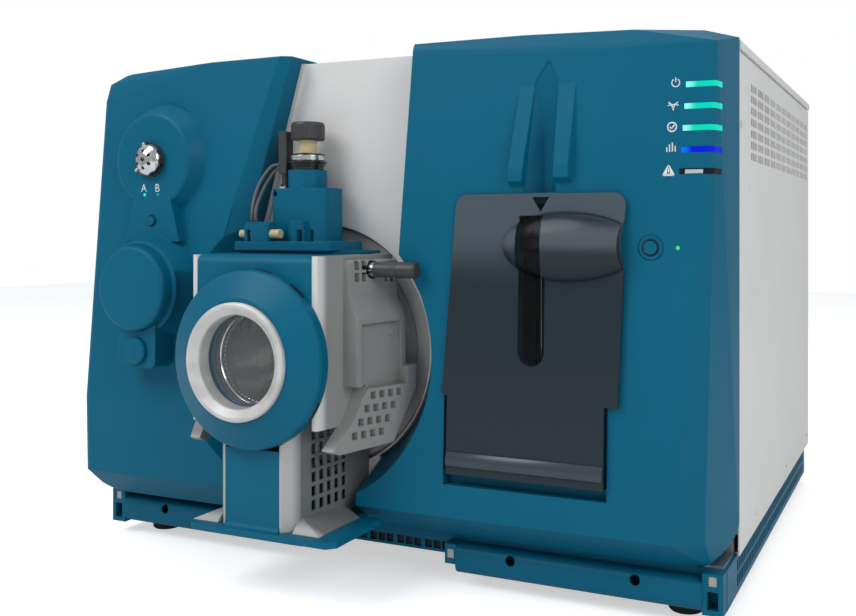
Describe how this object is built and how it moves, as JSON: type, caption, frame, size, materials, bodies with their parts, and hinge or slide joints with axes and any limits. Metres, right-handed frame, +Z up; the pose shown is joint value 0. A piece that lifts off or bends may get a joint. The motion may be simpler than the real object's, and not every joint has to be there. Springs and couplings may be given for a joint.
{
  "type": "mass spectrometer",
  "caption": "Benchtop mass spectrometer: wide cabinet with moulded fascias, a flanged ion source with a round window, an injection valve and a syringe pump behind a smoked door.",
  "frame": {"origin": "centre of the bounding box's bottom face, on the bench", "axes": "+X to the right seen from the front, +Y towards the back, +Z up"},
  "size_m": [0.957, 0.964, 0.711],
  "materials": {
    "teal_paint": "satin textured paint",
    "teal_moulding": "fine textured moulding",
    "pale_paint": "satin textured paint",
    "light_panel": "satin paint",
    "plated_sheet": "plated sheet",
    "clip_plastic": "satin",
    "foot_rubber": "matt",
    "polished_steel": "polished",
    "black_plastic": "satin",
    "black_anodised": "anodised",
    "peek_plastic": "satin",
    "light_guide": "clear, lit",
    "green_lens": "clear, lit",
    "smoked_plastic": "smoked, clear",
    "machined_aluminium": "machined",
    "pale_casting": "painted casting",
    "cast_aluminium": "bead blasted casting",
    "grey_moulding": "fine textured moulding",
    "satin_ring": "satin",
    "clear_glass": "clear",
    "cable_jacket": "matt",
    "ceramic_white": "satin"
  },
  "bodies": {
    "cabinet": {"base_skirt": "teal_paint", "chassis_base": "plated_sheet", "front_bulkhead": "plated_sheet", "left_panel": "pale_paint", "right_panel": "pale_paint", "lid": "pale_paint", "rear_panel": "pale_paint", "centre_panel": "light_panel", "left_fascia": "teal_moulding", "right_fascia": "teal_moulding", "left_rail": "teal_paint", "right_rail": "teal_paint", "rail_clips": "clip_plastic", "levelling_feet": "foot_rubber", "valve_stator": "polished_steel", "valve_ring": "black_plastic", "valve_light_guide": "light_guide", "valve_cover": "teal_moulding", "port_plug": "teal_moulding", "pump_frame": "machined_aluminium", "guide_rods": "polished_steel", "button_housing": "teal_moulding", "ready_light": "green_lens", "status_light_guide": "light_guide", "vacuum_flange": "pale_casting", "source_housing": "cast_aluminium", "source_cover": "teal_paint", "source_side_right": "grey_moulding", "source_side_left": "grey_moulding", "source_bezel": "teal_paint", "window_ring": "satin_ring", "window_glass": "clear_glass", "curtain_plate": "polished_steel", "probe_tower": "teal_paint", "probe_sleeve": "peek_plastic", "sensor_block": "black_plastic", "probe_cables": "cable_jacket", "union_block": "teal_paint", "peek_fittings": "peek_plastic", "pedestal_front": "teal_paint", "pedestal_sides": "grey_moulding", "vacuum_chamber": "machined_aluminium", "turbo_pump_front": "machined_aluminium", "turbo_pump_rear": "machined_aluminium", "rod_set": "ceramic_white", "electronics_unit": "plated_sheet", "power_unit": "plated_sheet"},
    "fan_left_body": {"fan_left": "black_plastic"},
    "fan_right_body": {"fan_right": "black_plastic"},
    "latch_right_body": {"latch_right": "black_plastic"},
    "lead_screw_body": {"lead_screw": "polished_steel"},
    "mains_switch_body": {"mains_switch": "black_plastic"},
    "probe_knob_body": {"probe_knob": "black_plastic"},
    "pump_button_body": {"pump_button": "teal_moulding"},
    "pump_carriage_body": {"pump_carriage": "black_plastic"},
    "pump_door_body": {"pump_door": "smoked_plastic"},
    "retaining_ring_body": {"retaining_ring": "black_anodised"},
    "valve_button_body": {"valve_button": "teal_moulding"},
    "valve_rotor_body": {"valve_rotor": "peek_plastic"}
  },
  "joints": [
    {"name": "pump_door_hinge", "type": "hinge", "parent": "cabinet", "child": "pump_door_body", "pos_m": [0.25, -0.34042, 0.17], "axis": [1, 0, 0], "range_deg": [0, 95]},
    {"name": "pump_button_travel", "type": "slide", "parent": "cabinet", "child": "pump_button_body", "axis": [0, 1, 0], "range_m": [0, 0.002], "stiffness_N_per_m": 400, "springref_m": -0.0005},
    {"name": "valve_button_travel", "type": "slide", "parent": "cabinet", "child": "valve_button_body", "axis": [0, 1, 0], "range_m": [0, 0.002], "stiffness_N_per_m": 400, "springref_m": -0.0005},
    {"name": "pump_carriage_slide", "type": "slide", "parent": "cabinet", "child": "pump_carriage_body", "axis": [0, 0, 1], "range_m": [-0.126, 0.018]},
    {"name": "lead_screw_turn", "type": "hinge", "parent": "cabinet", "child": "lead_screw_body", "pos_m": [0.247, -0.263, 0.398], "axis": [0, 0, 1], "range_deg": [-9200, 1400]},
    {"name": "valve_rotor_turn", "type": "hinge", "parent": "cabinet", "child": "valve_rotor_body", "pos_m": [-0.342, -0.351, 0.57], "axis": [0, 1, 0], "range_deg": [0, 60]},
    {"name": "latch_right_turn", "type": "hinge", "parent": "cabinet", "child": "latch_right_body", "pos_m": [0.06, -0.354, 0.418], "axis": [1, 0, 0], "range_deg": [0, 90]},
    {"name": "retaining_ring_turn", "type": "hinge", "parent": "cabinet", "child": "retaining_ring_body", "pos_m": [-0.0905, -0.324, 0.563], "axis": [0, 0, 1], "range_deg": [0, 540]},
    {"name": "probe_knob_turn", "type": "hinge", "parent": "cabinet", "child": "probe_knob_body", "pos_m": [-0.0905, -0.324, 0.603], "axis": [0, 0, 1], "range_deg": [-720, 720]},
    {"name": "fan_left_spin", "type": "hinge", "parent": "cabinet", "child": "fan_left_body", "pos_m": [-0.25, 0.461, 0.488], "axis": [0, 1, 0], "continuous": true},
    {"name": "fan_right_spin", "type": "hinge", "parent": "cabinet", "child": "fan_right_body", "pos_m": [-0.095, 0.461, 0.488], "axis": [0, 1, 0], "continuous": true},
    {"name": "mains_switch_rock", "type": "hinge", "parent": "cabinet", "child": "mains_switch_body", "pos_m": [0.385, 0.468, 0.1475], "axis": [1, 0, 0], "range_deg": [0, 16]}
  ],
  "couplings": [
    {"joint": "lead_screw_turn", "follows": "pump_carriage_slide", "rad_per_m": 1256.6}
  ]
}
